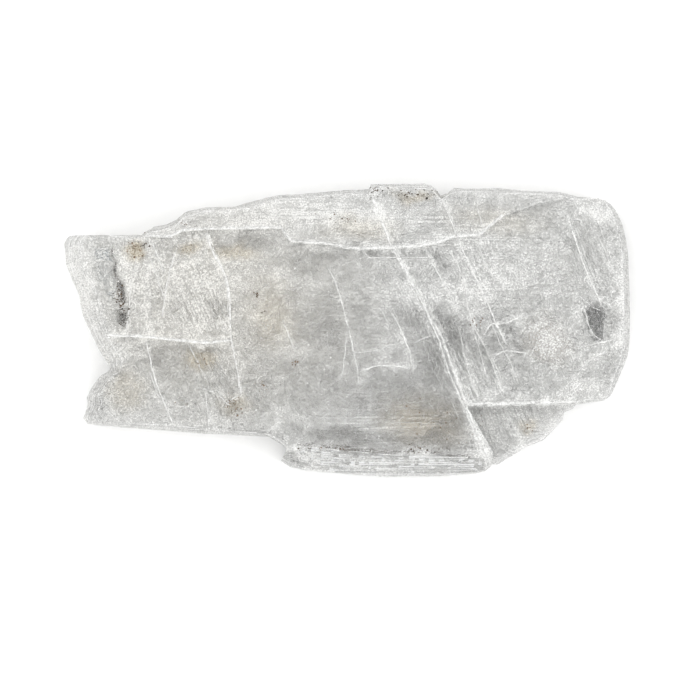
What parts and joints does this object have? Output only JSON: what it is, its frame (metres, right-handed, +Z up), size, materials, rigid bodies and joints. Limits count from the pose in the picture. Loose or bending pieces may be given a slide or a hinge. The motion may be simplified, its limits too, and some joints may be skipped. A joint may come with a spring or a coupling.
{
  "type": "selenite crystal blade",
  "caption": "Loose tabular blade of clear selenite with stepped cleavage sheets, a raised ridge and broken ends, lying flat on its broad face.",
  "frame": {"origin": "on the resting face, under the middle of the blade's outline", "axes": "+X along the blade towards its blunt right end, +Y across it towards the raised ridge, +Z up from the resting face"},
  "size_m": [0.1136, 0.059, 0.0119],
  "materials": {
    "selenite": "clear, glassy to pearly natural crystal, faintly grey, with cracks, veils and clay specks"
  },
  "bodies": {
    "root": {"selenite_blade": "selenite"}
  },
  "joints": []
}
